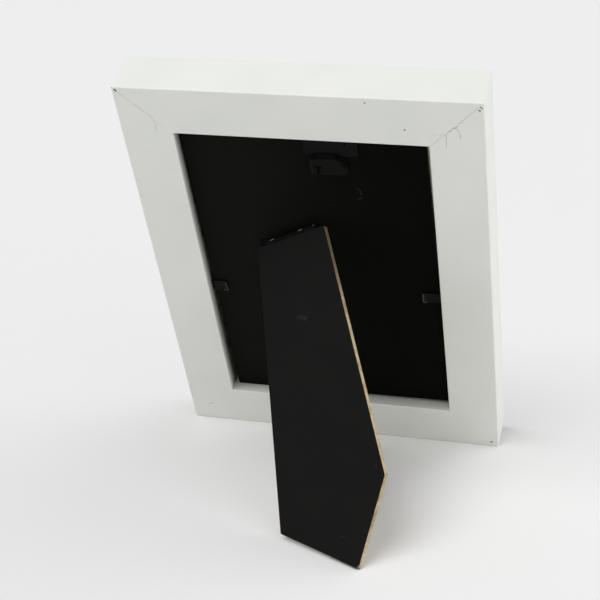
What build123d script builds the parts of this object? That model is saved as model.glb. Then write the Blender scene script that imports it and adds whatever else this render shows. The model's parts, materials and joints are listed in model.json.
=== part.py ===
"""Picture frame for a 10 by 15 cm photograph, standing on its easel back.

Four mitred rails hold the glass, the print and a hardboard back. A hardboard leg hangs
from the back on a small rolled hinge set askew, so that the frame can stand upright or
on its side. Lengths are in millimetres and angles in degrees. The frame stands on the
floor at Z = 0 and faces -Y, with the origin in the middle of the floor that it covers.
"""

import os
from math import acos, cos, degrees, hypot, radians, sin

from build123d import *

# The picture and the room around it in the frame
picture_width = 101.6
picture_height = 152.4
side_play = 1.2
end_play = 1.15

# The rails, seen in section
rail_width = 22.0
frame_depth = 21.0
lip_reach = 5.0
sight_bevel = 1.5
edge_round = 0.5

# What is stacked in the rebate, from the front
glass_thick = 2.0
print_thick = 0.3
board_thick = 2.3
paper_thick = 0.2
board_recess = 4.9
seat_play = 0.1
board_skew = 0.8

# The V-shaped nails across each mitre
nail_places = (7.5, 15.0)
nail_leg = 7.0
nail_sheet = 0.5
nail_height = 8.0
nail_sink = 0.8
nail_play = 0.05

# The flexible tabs driven into the side walls of the rebate
tab_width = 5.3
tab_sheet = 0.4
tab_gap = 0.4
tab_lift = 25.0
tab_lip = 1.7
tab_round = 0.9
tab_drive = 6.5
tab_point = 2.0
tab_stub = 0.45
tab_bend_gap = 0.3
left_tab_reach = 7.5
left_tab_up = 88.0
right_tab_reach = 8.6
right_tab_up = 90.3

# The rolled hinge on the board
hinge_across = -11.05
hinge_up = 22.75
hinge_tilt = 26.4
open_angle = 52.5
hinge_sheet = 0.45
pin_radius = 0.65
pin_play = 0.05
pin_proud = 0.15
pin_chamfer = 0.15
barrel_lift = 0.15
knuckle_count = 5
knuckle_length = 5.25
knuckle_gap = 0.3
roll_seam = 0.2
leaf_length = 16.5
leaf_round = 4.0
leaf_relief = 0.35
heel_width = 1.2
heel_play = 0.05

# The pointed prongs that clinch the sheet metal to the hardboard
prong_width = 2.4
prong_fold = 2.8
prong_shoulder = 1.6
prong_play = 0.1
prong_across = 9.5
prong_rows = (4.6, 10.2)

# The leg
leg_top = 34.4
leg_shift = 2.4
leg_setback = 1.75
foot_down = 141.5
foot_across = 9.7
foot_turn = 29.6
floor_edge = 40.0
side_edge = 39.0
leg_round = 0.8

# The stamped hanger on the board
hanger_across = 10.1
hanger_down = 17.8
hanger_sheet = 0.5
strip_width = 22.2
strip_shift = 2.1
strip_low = 8.2
strip_top_margin = 0.8
strip_round = 1.5
pocket_width = 16.6
pocket_height = 9.8
pocket_round = 5.5
pocket_rise = 1.8
pocket_slope = 1.4
pocket_crown = 2.6
notch_across = -3.6
notch_width = 1.3
notch_height = 3.7
notch_bar = 2.8
notch_bar_width = 0.8
hanger_prong_up = 3.0

# Where the lean is looked for
least_lean = 1.0
most_lean = 60.0
halvings = 50

# Sizes that follow
rebate_width = picture_width + 2 * side_play
rebate_height = picture_height + 2 * end_play
outer_width = rebate_width + 2 * rail_width
outer_height = rebate_height + 2 * rail_width
rebate_depth = board_recess + paper_thick + board_thick + print_thick + glass_thick
barrel_radius = pin_radius + pin_play + hinge_sheet
leaf_face = barrel_radius + barrel_lift
barrel_length = knuckle_count * knuckle_length
board_leaf_width = barrel_length - knuckle_gap
leg_leaf_width = barrel_length + 2 * (knuckle_gap + heel_width)
board_stack = board_thick + paper_thick
seat_up = rail_width + seat_play + picture_height / 2
board_up = (
    rail_width
    + seat_play
    + picture_height / 2 * cos(radians(board_skew))
    + picture_width / 2 * sin(radians(board_skew))
)
hanger_up = picture_height / 2 - hanger_down

# The hinge in the frame's own directions: across, up the frame and out of its back
hinge_turn = radians(board_skew + hinge_tilt)
skew = radians(board_skew)
opened = radians(open_angle)
hinge_spot = Vector(
    hinge_across * cos(skew) - hinge_up * sin(skew),
    board_up + hinge_across * sin(skew) + hinge_up * cos(skew),
    leaf_face - board_recess,
)
hinge_line = Vector(cos(hinge_turn), sin(hinge_turn), 0)
down_board = Vector(sin(hinge_turn), -cos(hinge_turn), 0)
out_of_back = Vector(0, 0, 1)
leg_down = down_board * cos(opened) + out_of_back * sin(opened)
leg_out = out_of_back * cos(opened) - down_board * sin(opened)

# The leg's outline, drawn with the pin at the top and the foot below
foot = Vector(foot_across, -foot_down)
floor_way = Vector(-cos(radians(foot_turn)), sin(radians(foot_turn)))
side_way = Vector(sin(radians(foot_turn)), cos(radians(foot_turn)))
leg_corners = [
    Vector(leg_shift - leg_top / 2, -leg_setback),
    Vector(leg_shift + leg_top / 2, -leg_setback),
    foot + side_way * side_edge,
    foot,
    foot + floor_way * floor_edge,
]


def round_centres(corners, radius):
    """Centres of the arcs that round the corners of an outline, by the bisector of each."""
    centres = []
    for index, corner in enumerate(corners):
        back_way = (corners[index - 1] - corner).normalized()
        next_way = (corners[(index + 1) % len(corners)] - corner).normalized()
        half = acos(back_way.dot(next_way)) / 2
        centres.append(corner + (back_way + next_way).normalized() * (radius / sin(half)))
    return centres


def leg_reach(direction):
    """How far the open leg reaches along a direction, from the frame's lowest back edge."""
    in_leg = hypot(direction.dot(hinge_line), direction.dot(leg_down))
    reaches = []
    for centre in round_centres(leg_corners, leg_round):
        for face in (leaf_face, leaf_face + board_stack):
            place = hinge_spot + hinge_line * centre.X - leg_down * centre.Y + leg_out * face
            reaches.append(place.dot(direction) + leg_round * in_leg)
    return max(reaches)


def edge_height(lean):
    """Height of the rounded back edge over where it would be if it were sharp."""
    return edge_round * (cos(lean) + sin(lean) - 1)


def find_lean():
    """Lean at which the frame's back edge and the leg's foot touch one floor, by halving."""
    low = radians(least_lean)
    high = radians(most_lean)
    for _ in range(halvings):
        middle = (low + high) / 2
        down = Vector(0, -cos(middle), sin(middle))
        if -leg_reach(down) > edge_height(middle):
            low = middle
        else:
            high = middle
    return low


lean = find_lean()
rearward = Vector(0, sin(lean), cos(lean))
rear_reach = leg_reach(rearward)
front_reach = (frame_depth - edge_round) * cos(lean) - edge_round * sin(lean) + edge_round
back = Plane(
    origin=(0, (front_reach - rear_reach) / 2, -edge_height(lean)),
    x_dir=(-1, 0, 0),
    z_dir=(0, cos(lean), -sin(lean)),
)


def spot(point):
    """A point given across, up and out of the frame's back, in the room."""
    return back.from_local_coords(point)


def way(direction):
    """A direction given across, up and out of the frame's back, in the room."""
    return spot(direction) - spot(Vector(0, 0, 0))


board_face = Plane(
    origin=spot(Vector(0, board_up, -board_recess)),
    x_dir=way(Vector(cos(skew), sin(skew), 0)),
    z_dir=way(out_of_back),
)
leg_leaf_place = Plane(origin=spot(hinge_spot), x_dir=way(hinge_line), z_dir=way(leg_out))
board_leaf_place = Plane(
    origin=spot(hinge_spot),
    x_dir=way(hinge_line * -1),
    z_dir=way(out_of_back * -1),
)
hanger_place = Plane(
    origin=board_face.from_local_coords((hanger_across, hanger_up, 0)),
    x_dir=board_face.x_dir,
    z_dir=board_face.z_dir,
)

os.makedirs("parts", exist_ok=True)


def keep(piece, name):
    """Name a finished piece and write it."""
    piece.part.label = name
    export_step(piece.part, f"parts/{name}.step")


# Prongs: each has its own plane, with x across the prong, z the way that it pierces,
# and the clinched end lying towards -y


def prong_plane(sheet_face, across, up, over):
    """Plane of a prong that leaves a sheet's face at a spot, with its width along over."""
    origin = sheet_face.from_local_coords((across, up, 0))
    return Plane(origin=origin, x_dir=over, z_dir=sheet_face.z_dir)


def prong_outline(length, play):
    """The clinched end from above, with its point, grown by the play."""
    half = prong_width / 2 + play
    shoulder = prong_shoulder - length
    Polygon(
        (-half, play),
        (-half, shoulder),
        (0, -length - play),
        (half, shoulder),
        (half, play),
        align=None,
    )


def add_prong(plane, sheet, depth):
    """A prong of this sheet through a board of this depth, clinched flush behind it."""
    with BuildSketch(plane) as stem:
        Rectangle(prong_width, sheet, align=(Align.CENTER, Align.MAX))
    extrude(stem.sketch, amount=depth)
    with BuildSketch(plane.offset(depth - sheet)) as fold:
        prong_outline(prong_fold, 0)
    extrude(fold.sketch, amount=sheet)


def cut_stem(plane, sheet, depth):
    """The slot that a prong's stem leaves in a board of this depth."""
    with BuildSketch(plane) as slot:
        with Locations((0, prong_play)):
            Rectangle(
                prong_width + 2 * prong_play,
                sheet + 2 * prong_play,
                align=(Align.CENTER, Align.MAX),
            )
    extrude(slot.sketch, amount=depth, mode=Mode.SUBTRACT)


def cut_prong(plane, sheet, depth):
    """The slot through a board and the hollow behind it where the prong is clinched."""
    cut_stem(plane, sheet, depth)
    with BuildSketch(plane.offset(depth)) as hollow:
        prong_outline(prong_fold, prong_play)
    extrude(hollow.sketch, amount=-sheet - prong_play, mode=Mode.SUBTRACT)


def leaf_prongs(place):
    """The four prongs of a hinge leaf, clinched away from the pin."""
    face = place.offset(leaf_face)
    return [prong_plane(face, across, up, face.x_dir) for across, up in leaf_spots]


leaf_spots = [(side * prong_across, -row) for side in (-1, 1) for row in prong_rows]
leg_prongs = leaf_prongs(leg_leaf_place)
board_prongs = leaf_prongs(board_leaf_place)

# The hanger's prongs leave the two ends of its strip and are clinched towards each other
hanger_back = Plane(
    origin=hanger_place.origin,
    x_dir=hanger_place.x_dir,
    z_dir=hanger_place.z_dir * -1,
)
hanger_prongs = [
    prong_plane(
        hanger_back,
        strip_shift + side * strip_width / 2,
        -strip_low - hanger_prong_up,
        hanger_back.y_dir * -side,
    )
    for side in (-1, 1)
]

# The tabs: plane on the upper face of each, with x pointing in over the board


def tab_plane(side, up):
    """Plane of a tab's upper face where it leaves the wall, on side -1 or 1."""
    height = -board_recess + tab_gap + tab_sheet
    return Plane(
        origin=spot(Vector(side * rebate_width / 2, up, height)),
        x_dir=way(Vector(-side, 0, 0)),
        z_dir=way(out_of_back),
    )


tabs = {
    "left": (tab_plane(-1, left_tab_up), left_tab_reach),
    "right": (tab_plane(1, right_tab_up), right_tab_reach),
}


def shank_outline(play):
    """The half of a tab that is driven into the wall, with its point, from above."""
    half = tab_width / 2 + play
    Polygon(
        (tab_stub, half),
        (-tab_drive + tab_point, half),
        (-tab_drive - play, 0),
        (-tab_drive + tab_point, -half),
        (tab_stub, -half),
        align=None,
    )


# The rails


def nail_outlines(play):
    """Both nails of every corner as thin right angles, grown by the play."""
    corners = [
        (-outer_width / 2, 0),
        (outer_width / 2, 0),
        (outer_width / 2, outer_height),
        (-outer_width / 2, outer_height),
    ]
    for index, corner in enumerate(corners):
        for place in nail_places:
            with Locations(Location(corner, (0, 0, 90 * index))):
                with Locations((place + nail_leg / 2, place)):
                    Rectangle(nail_leg + 2 * play, nail_sheet + 2 * play)
                with Locations((place, place + nail_leg / 2)):
                    Rectangle(nail_sheet + 2 * play, nail_leg + 2 * play)


def rail(start, run, length, name):
    """One mitred rail from the corner start, with the picture on the left of its run."""
    inward = out_of_back.cross(run)
    end = start + run * length
    section_plane = Plane(origin=spot(start), x_dir=way(inward), z_dir=way(run))
    with BuildPart() as piece:
        with BuildSketch(section_plane) as section:
            Rectangle(rail_width, frame_depth, align=(Align.MIN, Align.MAX))
            with Locations((rail_width, -rebate_depth)):
                Rectangle(lip_reach, frame_depth - rebate_depth, align=(Align.MIN, Align.MAX))
            front = section.vertices().group_by(Axis.Y)[0].sort_by(Axis.X)
            rear = section.vertices().group_by(Axis.Y)[-1]
            chamfer(front[-1], length=sight_bevel)
            fillet([front[0]] + list(rear), radius=edge_round)
        extrude(amount=length)
        split(bisect_by=Plane(origin=spot(start), z_dir=way(run - inward)), keep=Keep.TOP)
        split(bisect_by=Plane(origin=spot(end), z_dir=way(run * -1 - inward)), keep=Keep.TOP)
        with BuildSketch(back.offset(nail_play - nail_sink)):
            nail_outlines(nail_play)
        extrude(amount=-nail_height - 2 * nail_play, mode=Mode.SUBTRACT)
        for plane, _ in tabs.values():
            with BuildSketch(plane.offset(nail_play)):
                shank_outline(nail_play)
            extrude(amount=-tab_sheet - 2 * nail_play, mode=Mode.SUBTRACT)
    keep(piece, name)


across = Vector(1, 0, 0)
upward = Vector(0, 1, 0)
low_left = Vector(-outer_width / 2, 0, 0)
low_right = Vector(outer_width / 2, 0, 0)
rail(low_left, across, outer_width, "bottom_rail")
rail(low_right, upward, outer_height, "right_rail")
rail(low_right + upward * outer_height, across * -1, outer_width, "top_rail")
rail(low_left + upward * outer_height, upward * -1, outer_height, "left_rail")

with BuildPart() as corner_nails:
    with BuildSketch(back.offset(-nail_sink)):
        nail_outlines(0)
    extrude(amount=-nail_height)
keep(corner_nails, "corner_nails")

# The glass and the print stand in the rebate, and the board lies behind them


def sheet_in_rebate(start, thick, name):
    """A sheet of the picture's size on the bottom of the rebate, start behind the lip."""
    with BuildPart() as sheet:
        with BuildSketch(back.offset(start - rebate_depth)):
            with Locations((0, seat_up)):
                Rectangle(picture_width, picture_height)
        extrude(amount=thick)
    keep(sheet, name)


sheet_in_rebate(0, glass_thick, "glass_pane")
sheet_in_rebate(glass_thick, print_thick, "print_insert")

with BuildPart() as back_board:
    with BuildSketch(board_face.offset(-paper_thick)):
        Rectangle(picture_width, picture_height)
    extrude(amount=-board_thick)
    for prong in board_prongs:
        cut_prong(prong, hinge_sheet, board_stack)
    for prong in hanger_prongs:
        cut_prong(prong, hanger_sheet, board_stack)
keep(back_board, "back_board")

with BuildPart() as board_paper:
    with BuildSketch(board_face):
        Rectangle(picture_width, picture_height)
    extrude(amount=-paper_thick)
    for prong in board_prongs:
        cut_stem(prong, hinge_sheet, paper_thick)
    for prong in hanger_prongs:
        cut_stem(prong, hanger_sheet, paper_thick)
keep(board_paper, "board_paper")

# The hinge: two leaves rolled round one pin


def roll_section(neck):
    """The rolled sheet seen along the pin: a ring that runs out into the leaf's neck."""
    Circle(barrel_radius)
    Circle(pin_radius + pin_play, mode=Mode.SUBTRACT)
    with Locations((0, leaf_face - hinge_sheet)):
        Rectangle(barrel_radius, roll_seam, align=(Align.MIN, Align.MAX), mode=Mode.SUBTRACT)
    with Locations((0, leaf_face)):
        Rectangle(neck, hinge_sheet, align=(Align.MIN, Align.MAX))


def hinge_leaf(place, width, knuckles, heels, depth, prongs, name):
    """A leaf with its knuckles round the pin, its heels past the pin and its prongs."""
    neck = barrel_radius + leaf_relief
    plate = place.offset(leaf_face - hinge_sheet)
    with BuildPart() as leaf:
        with BuildSketch(plate) as outline:
            with Locations((0, -neck)):
                Rectangle(width, leaf_length - neck, align=(Align.CENTER, Align.MAX))
            fillet(outline.vertices().group_by(Axis.Y)[0], radius=leaf_round)
            for side in heels:
                with Locations((side * (width - heel_width) / 2, heel_reach)):
                    Rectangle(heel_width, heel_reach + neck, align=(Align.CENTER, Align.MAX))
            for across_spot, up_spot in leaf_spots:
                with Locations((across_spot, up_spot - hinge_sheet)):
                    Rectangle(
                        prong_width + 2 * prong_play,
                        prong_fold + depth - hinge_sheet,
                        align=(Align.CENTER, Align.MAX),
                        mode=Mode.SUBTRACT,
                    )
        extrude(amount=hinge_sheet)
        for number in knuckles:
            end = barrel_length / 2 - number * knuckle_length - knuckle_gap / 2
            along = Plane(
                origin=place.from_local_coords((end, 0, 0)),
                x_dir=place.y_dir * -1,
                z_dir=place.x_dir * -1,
            )
            with BuildSketch(along):
                roll_section(neck)
            extrude(amount=knuckle_length - knuckle_gap)
        for prong in prongs:
            add_prong(prong, hinge_sheet, depth)
    keep(leaf, name)


heel_inner = leaf_face - hinge_sheet
heel_reach = (leaf_face - heel_play + heel_inner * cos(opened)) / sin(opened)
hinge_leaf(
    leg_leaf_place,
    leg_leaf_width,
    range(0, knuckle_count, 2),
    (-1, 1),
    board_thick,
    leg_prongs,
    "hinge_leg_leaf",
)
hinge_leaf(
    board_leaf_place,
    board_leaf_width,
    range(1, knuckle_count, 2),
    (),
    board_stack,
    board_prongs,
    "hinge_board_leaf",
)

with BuildPart() as hinge_pin:
    pin_length = barrel_length - knuckle_gap + 2 * pin_proud
    pin_start = leg_leaf_place.from_local_coords((-pin_length / 2, 0, 0))
    with BuildSketch(Plane(origin=pin_start, z_dir=leg_leaf_place.x_dir)):
        Circle(pin_radius)
    extrude(amount=pin_length)
    chamfer(hinge_pin.edges().filter_by(GeomType.CIRCLE), length=pin_chamfer)
keep(hinge_pin, "hinge_pin")

# The leg: hardboard with black paper over the clinched prongs


def leg_outline():
    """The leg from its outer side, with every corner lightly rounded."""
    outline = Polygon(*[(corner.X, corner.Y) for corner in leg_corners], align=None)
    fillet(outline.vertices(), radius=leg_round)


with BuildPart() as easel_leg:
    with BuildSketch(leg_leaf_place.offset(leaf_face)):
        leg_outline()
    extrude(amount=board_thick)
    for prong in leg_prongs:
        cut_prong(prong, hinge_sheet, board_thick)
keep(easel_leg, "easel_leg")

with BuildPart() as leg_paper:
    with BuildSketch(leg_leaf_place.offset(leaf_face + board_thick)):
        leg_outline()
    extrude(amount=paper_thick)
keep(leg_paper, "leg_paper")

# The hanger: a strip along the board's top with a pocket pressed out for a nail


def pocket_outline(width, height, corner):
    """The pocket's arch: flat below, with its two upper corners rounded."""
    arch = Rectangle(width, height, align=(Align.CENTER, Align.MIN))
    fillet(arch.vertices().group_by(Axis.Y)[-1], radius=corner)


def press_pocket(shrink, low, high, mode=Mode.ADD):
    """The pressed form between two levels, smaller all round by shrink."""
    with BuildSketch(hanger_place.offset(low)) as base:
        pocket_outline(
            pocket_width - 2 * shrink,
            pocket_height - shrink,
            pocket_round - shrink,
        )
    with BuildSketch(hanger_place.offset(high)) as crown:
        pocket_outline(
            pocket_width - 2 * shrink - 2 * pocket_slope,
            pocket_height - shrink - pocket_crown,
            pocket_round - shrink - pocket_slope,
        )
    loft([base.sketch, crown.sketch], mode=mode)


strip_high = hanger_down - strip_top_margin
with BuildPart() as hanger:
    with BuildSketch(hanger_place) as strip:
        with Locations((strip_shift, strip_low)):
            Rectangle(strip_width, strip_high - strip_low, align=(Align.CENTER, Align.MIN))
        fillet(strip.vertices().group_by(Axis.Y)[0], radius=strip_round)
    extrude(amount=hanger_sheet)
    press_pocket(0, 0, hanger_sheet + pocket_rise)
    press_pocket(hanger_sheet, -hanger_sheet, pocket_rise, mode=Mode.SUBTRACT)
    with BuildSketch(hanger_place):
        Rectangle(pocket_width, hanger_sheet, align=(Align.CENTER, Align.CENTER))
    extrude(amount=pocket_rise, mode=Mode.SUBTRACT)
    with BuildSketch(hanger_place.offset(pocket_rise)):
        with Locations((notch_across, 0)):
            Rectangle(notch_width, 2 * notch_height)
        with Locations((notch_across, notch_height)):
            Rectangle(notch_bar, notch_bar_width)
    extrude(amount=2 * hanger_sheet, mode=Mode.SUBTRACT)
    for prong in hanger_prongs:
        add_prong(prong, hanger_sheet, board_stack)
keep(hanger, "hanger")

# The tabs: the driven half stays in the wall, and the blade bends up at its root

for side, (plane, reach) in tabs.items():
    with BuildPart() as shank:
        with BuildSketch(plane):
            shank_outline(0)
        extrude(amount=-tab_sheet)
    keep(shank, f"{side}_tab_shank")
    with BuildPart() as blade:
        root = tab_stub + tab_bend_gap
        flat = reach - tab_lip * cos(radians(tab_lift))
        side_on = Plane(
            origin=plane.from_local_coords((0, tab_width / 2, 0)),
            x_dir=plane.x_dir,
            z_dir=plane.y_dir * -1,
        )
        with BuildSketch(side_on):
            with BuildLine():
                Polyline((root, 0), (flat, 0), (reach, tab_lip * sin(radians(tab_lift))))
                offset(amount=tab_sheet, side=Side.RIGHT)
            make_face()
        extrude(amount=tab_width)
        tip = blade.faces().sort_by(Axis(plane.origin, plane.x_dir))[-1]
        fillet(tip.edges().sort_by(SortBy.LENGTH)[:2], radius=tab_round)
    keep(blade, f"{side}_tab_blade")

print("lean", round(degrees(lean), 2))
print("hinge", spot(hinge_spot), way(hinge_line))
for side, (plane, _) in tabs.items():
    print(side, "tab bend", plane.from_local_coords((tab_stub + tab_bend_gap / 2, 0, 0)), plane.y_dir)
print("back face", spot(Vector(0, outer_height - rail_width / 2, 0)), way(out_of_back))
print("notch", hanger_place.from_local_coords((notch_across, notch_height, pocket_rise)))
print("print seat", spot(Vector(0, seat_up, glass_thick - rebate_depth)))
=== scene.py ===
"""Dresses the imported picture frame: finer surfaces, finishes, floor, lights and camera.

Sizes are in millimetres, in places that follow the frame's own directions, and in_room()
turns them to metres where the frame stands.
"""

import json

import bpy
import numpy as np
from mathutils import Matrix, Vector


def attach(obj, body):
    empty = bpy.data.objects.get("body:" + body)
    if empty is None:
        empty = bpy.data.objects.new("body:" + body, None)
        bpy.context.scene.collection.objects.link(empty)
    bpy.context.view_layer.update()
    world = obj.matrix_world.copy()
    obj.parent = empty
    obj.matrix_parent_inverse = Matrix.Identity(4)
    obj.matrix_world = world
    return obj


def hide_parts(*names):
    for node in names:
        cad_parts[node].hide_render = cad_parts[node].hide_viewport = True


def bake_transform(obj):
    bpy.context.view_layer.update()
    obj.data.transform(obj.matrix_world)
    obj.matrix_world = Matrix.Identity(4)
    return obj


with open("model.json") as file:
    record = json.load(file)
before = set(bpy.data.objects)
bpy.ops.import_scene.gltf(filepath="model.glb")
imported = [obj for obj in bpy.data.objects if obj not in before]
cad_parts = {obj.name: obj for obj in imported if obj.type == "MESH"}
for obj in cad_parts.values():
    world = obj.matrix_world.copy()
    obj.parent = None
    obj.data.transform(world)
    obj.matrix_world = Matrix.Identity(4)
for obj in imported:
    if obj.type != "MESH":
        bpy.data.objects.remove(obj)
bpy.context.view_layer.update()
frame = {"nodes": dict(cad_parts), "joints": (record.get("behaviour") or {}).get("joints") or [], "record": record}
MM = 0.001

# Sizes of the real object
OUTER_WIDTH = 148.0
OUTER_HEIGHT = 198.7
RAIL_WIDTH = 22.0
FRAME_DEPTH = 21.0
LIP_REACH = 5.0
SIGHT_BEVEL = 1.5
EDGE_ROUND = 0.5
PICTURE_WIDTH = 101.6
PICTURE_HEIGHT = 152.4
BOARD_RECESS = 4.9
REBATE_DEPTH = 9.7
BOARD_THICK = 2.3
PAPER_THICK = 0.2
BOARD_SKEW = np.radians(0.8)
OPEN_ANGLE = np.radians(52.5)
SEAT_PLAY = 0.1
HINGE_SHEET = 0.45
PIN_RADIUS = 0.65
ROLL_INNER = 0.7
ROLL_OUTER = 1.15
LEAF_FACE = 1.3
KNUCKLES = 5
KNUCKLE_LENGTH = 5.25
KNUCKLE_GAP = 0.3
HEEL_WIDTH = 1.2
LEAF_LENGTH = 16.5
LEAF_ROUND = 4.0
PRONG_ACROSS = 9.5
PRONG_ROWS = (4.6, 10.2)


def joint(name):
    """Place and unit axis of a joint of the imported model, in metres."""
    found = next(j for j in frame["joints"] if j["name"] == name)
    axis = np.array(found["axis"], float)
    return np.array(found["pos_m"], float), axis / np.linalg.norm(axis)


def mount(name):
    """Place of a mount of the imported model, in metres."""
    found = next(m for m in frame["record"]["mounts"] if m["name"] == name)
    return np.array(found["pos_m"], float)


# Places: an origin in metres and three unit directions, as rows
UP = joint("right_tab_bend")[1]
ACROSS = np.array([-1.0, 0.0, 0.0])
OUT = np.cross(ACROSS, UP)
BACK = (
    mount("wall_face") - UP * (OUTER_HEIGHT - RAIL_WIDTH / 2) * MM,
    np.array([ACROSS, UP, OUT]),
)
BOARD_UP = RAIL_WIDTH + SEAT_PLAY + (
    PICTURE_HEIGHT * np.cos(BOARD_SKEW) + PICTURE_WIDTH * np.sin(BOARD_SKEW)
) / 2
BOARD = (
    BACK[0] + (UP * BOARD_UP - OUT * BOARD_RECESS) * MM,
    np.array([
        ACROSS * np.cos(BOARD_SKEW) + UP * np.sin(BOARD_SKEW),
        UP * np.cos(BOARD_SKEW) - ACROSS * np.sin(BOARD_SKEW),
        OUT,
    ]),
)

HINGE_SPOT, HINGE_LINE = joint("leg_hinge")
LEG_DOWN = np.cross(HINGE_LINE, OUT) * np.cos(OPEN_ANGLE) + OUT * np.sin(OPEN_ANGLE)
LEG = (HINGE_SPOT, np.array([HINGE_LINE, -LEG_DOWN, np.cross(HINGE_LINE, -LEG_DOWN)]))
BOARD_LEAF = (HINGE_SPOT, np.array([-HINGE_LINE, np.cross(OUT, HINGE_LINE), -OUT]))


def in_room(place, points):
    """Points given in millimetres in a place, in metres in the room."""
    origin, directions = place
    return origin + np.asarray(points, float) @ directions * MM


# Shader building


def linear(hex_colour):
    """An sRGB hex colour as linear red, green, blue and alpha."""
    parts = np.array([int(hex_colour[i:i + 2], 16) for i in (1, 3, 5)]) / 255
    light = np.where(parts <= 0.04045, parts / 12.92, ((parts + 0.055) / 1.055) ** 2.4)
    return (*light.tolist(), 1.0)


def new_material(name):
    """An empty material with its output and Principled shader, linked."""
    material = bpy.data.materials.new(name)
    material.use_nodes = True
    tree = material.node_tree
    return material, tree, tree.nodes["Principled BSDF"]


def add(tree, kind, links=None, **settings):
    """Adds a node, sets its properties or input values, and links its inputs.

    A setting named after a property sets it, otherwise it sets the input of that name, with
    underscores read as spaces. links maps an input's name or number to another node's output.
    """
    node = tree.nodes.new(kind)
    later = {}
    for key, value in settings.items():
        if hasattr(node, key):
            setattr(node, key, value)
        else:
            later[key.replace("_", " ")] = value
    for key, value in later.items():
        node.inputs[key].default_value = value
    for key, output in (links or {}).items():
        tree.links.new(output, node.inputs[key])
    return node


def set_sockets(shader, **values):
    """Sets the shader's own sockets."""
    for key, value in values.items():
        shader.inputs[key.replace("_", " ")].default_value = value


def place_coordinates(tree, place):
    """Object coordinates in a place's own directions, in millimetres."""
    origin, directions = place
    turn = Matrix(directions.T.tolist()).to_euler()
    coordinates = add(tree, "ShaderNodeTexCoord")
    return add(
        tree,
        "ShaderNodeMapping",
        links={"Vector": coordinates.outputs["Object"]},
        vector_type="TEXTURE",
        Location=tuple(origin),
        Rotation=tuple(turn),
        Scale=(MM, MM, MM),
    ).outputs["Vector"]


def number_math(tree, operation, first, second, **settings):
    """Arithmetic on an output and a number, or on two outputs."""
    node = add(tree, "ShaderNodeMath", links={0: first}, operation=operation, **settings)
    if isinstance(second, float):
        node.inputs[1].default_value = second
    else:
        tree.links.new(second, node.inputs[1])
    return node.outputs[0]


def vector_math(tree, operation, vector, constant):
    """A vector operation on an output and a constant."""
    node = add(tree, "ShaderNodeVectorMath", links={0: vector}, operation=operation)
    node.inputs[1].default_value = constant
    return node


def on_face(tree, local):
    """Coordinates flattened onto the face that strokes are drawn on."""
    return vector_math(tree, "MULTIPLY", local, (1, 1, 0)).outputs[0]


def noise(tree, where, scale, detail=2.0):
    """A noise texture, its scale counted per millimetre."""
    return add(tree, "ShaderNodeTexNoise", links={"Vector": where}, Scale=scale, Detail=detail)


def ramp(tree, value, start, end, low=0.0, high=1.0, **settings):
    """A value between start and end brought to between low and high, and held beyond them."""
    return add(
        tree,
        "ShaderNodeMapRange",
        links={"Value": value},
        From_Min=start,
        From_Max=end,
        To_Min=low,
        To_Max=high,
        **settings,
    ).outputs["Result"]


def bump(tree, height, depth, over=None, **settings):
    """The normal of a relief of a depth in millimetres, on top of another normal."""
    links = {"Height": height} if over is None else {"Height": height, "Normal": over}
    node = add(tree, "ShaderNodeBump", links=links, Distance=depth * MM, **settings)
    return node.outputs["Normal"]


def stroke(tree, flat, start, end, width, soft):
    """1 within a width of the line from start to end on a flat face, fading to 0 beyond it."""
    a = np.array([*start, 0.0])
    run = np.array([*end, 0.0]) - a
    off = vector_math(tree, "SUBTRACT", flat, a).outputs[0]
    along = vector_math(tree, "DOT_PRODUCT", off, run / (run @ run)).outputs["Value"]
    held = add(tree, "ShaderNodeClamp", links={"Value": along}).outputs[0]
    part = add(tree, "ShaderNodeVectorMath", links={"Scale": held}, operation="SCALE")
    part.inputs[0].default_value = run
    gap = add(
        tree,
        "ShaderNodeVectorMath",
        links={0: off, 1: part.outputs[0]},
        operation="DISTANCE",
    ).outputs["Value"]
    return ramp(tree, gap, width, width + soft, 1.0, 0.0, interpolation_type="SMOOTHSTEP")


def most(tree, masks):
    """The largest of several masks."""
    total = masks[0]
    for mask in masks[1:]:
        total = number_math(tree, "MAXIMUM", total, mask)
    return total


def marks(tree, flat, lines):
    """Strokes from a list of start, end, width and soft, together."""
    return most(tree, [stroke(tree, flat, *line) for line in lines])


def times(tree, mask, amount):
    """A mask times a number, or times another mask."""
    return number_math(tree, "MULTIPLY", mask, amount)


def blend(tree, share, under, over):
    """One colour over another by a share: each colour is a hex value or an output."""
    node = add(tree, "ShaderNodeMix", links={0: share}, data_type="RGBA")
    for socket, colour in ((node.inputs[6], under), (node.inputs[7], over)):
        if isinstance(colour, str):
            socket.default_value = linear(colour)
        else:
            tree.links.new(colour, socket)
    return node.outputs[2]


# Finishes

# Marks in the paint of the back, across and up in millimetres: opened mitres and the traces
# of the V-shaped nails under the paint, each with its width and soft edge, then dark pits and
# specks with their widths

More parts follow.
